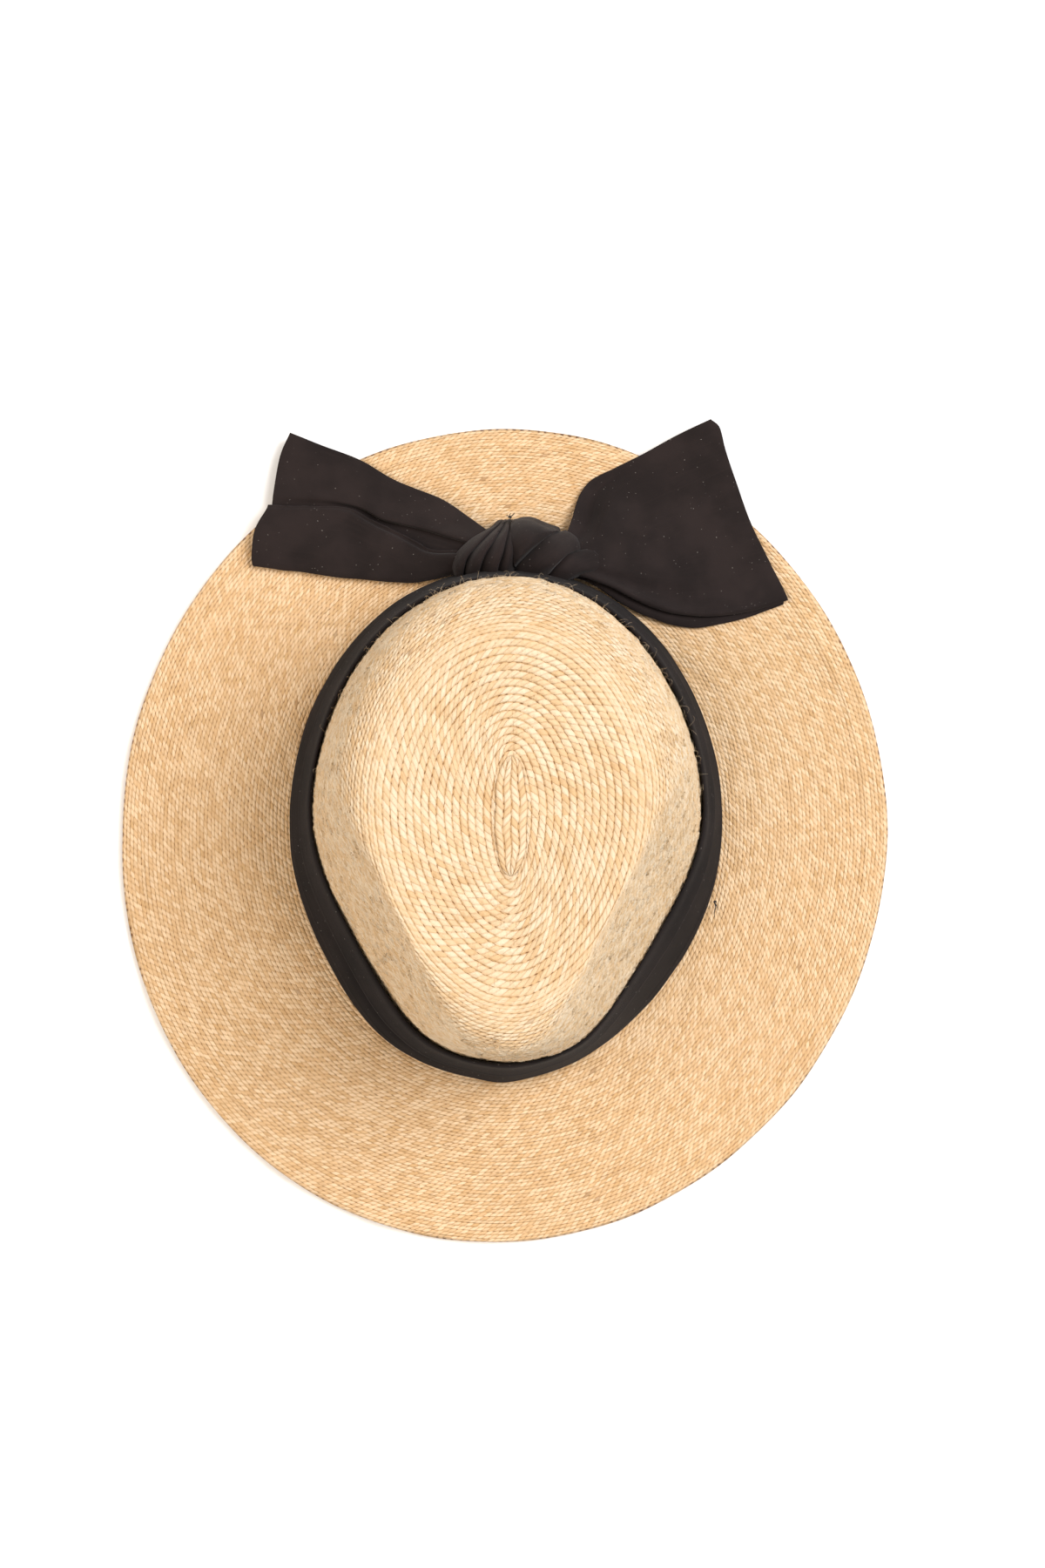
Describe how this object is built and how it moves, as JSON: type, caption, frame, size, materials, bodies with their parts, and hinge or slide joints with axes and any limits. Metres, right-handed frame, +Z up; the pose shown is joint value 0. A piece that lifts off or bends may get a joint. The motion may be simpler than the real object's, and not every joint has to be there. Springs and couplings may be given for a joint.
{
  "type": "straw sun hat",
  "caption": "Wide-brimmed braided straw sun hat with a pinched teardrop crown, a wired hem, an inner sweatband and a black cloth scarf knotted round the crown at the back.",
  "frame": {"origin": "centre of the brim oval on the plane the hem rests on", "axes": "+Y to the back of the hat, where the knot is, +Z up out of the crown, +X to the right seen from above with the back of the hat away from the viewer"},
  "size_m": [0.323, 0.343, 0.1209],
  "materials": {
    "straw_crown": "matte",
    "straw_plait": "matte",
    "straw_brim": "matte",
    "straw_hem": "matte",
    "wire": "satin",
    "ferrule": "satin",
    "hem_thread": "matte",
    "sweat_tape": "matte",
    "joint_tape": "matte",
    "sweat_thread": "matte",
    "scarf_cloth": "matte",
    "tacking_thread": "matte"
  },
  "bodies": {
    "hat": {"crown": "straw_crown", "centre_plait": "straw_plait", "brim": "straw_brim", "brim_hem": "straw_hem", "brim_wire": "wire", "wire_ferrule": "ferrule", "hem_stitches": "hem_thread", "sweatband": "sweat_tape", "sweatband_tape": "joint_tape", "sweatband_stitches": "sweat_thread", "scarf_band": "scarf_cloth", "knot_left_wrap": "scarf_cloth", "knot_right_wrap": "scarf_cloth", "knot_tack": "tacking_thread", "band_tack": "tacking_thread"},
    "left_tail_body": {"left_tail": "scarf_cloth"},
    "right_tail_body": {"right_tail": "scarf_cloth"}
  },
  "joints": [
    {"name": "left_tail_lift", "type": "hinge", "parent": "hat", "child": "left_tail_body", "pos_m": [-0.026, 0.1195, 0.0182], "axis": [0, 1, 0], "range_deg": [0, 60]},
    {"name": "right_tail_lift", "type": "hinge", "parent": "hat", "child": "right_tail_body", "pos_m": [0.0322, 0.1198, 0.0182], "axis": [-0.1736, -0.9848, 0], "range_deg": [0, 60]}
  ]
}
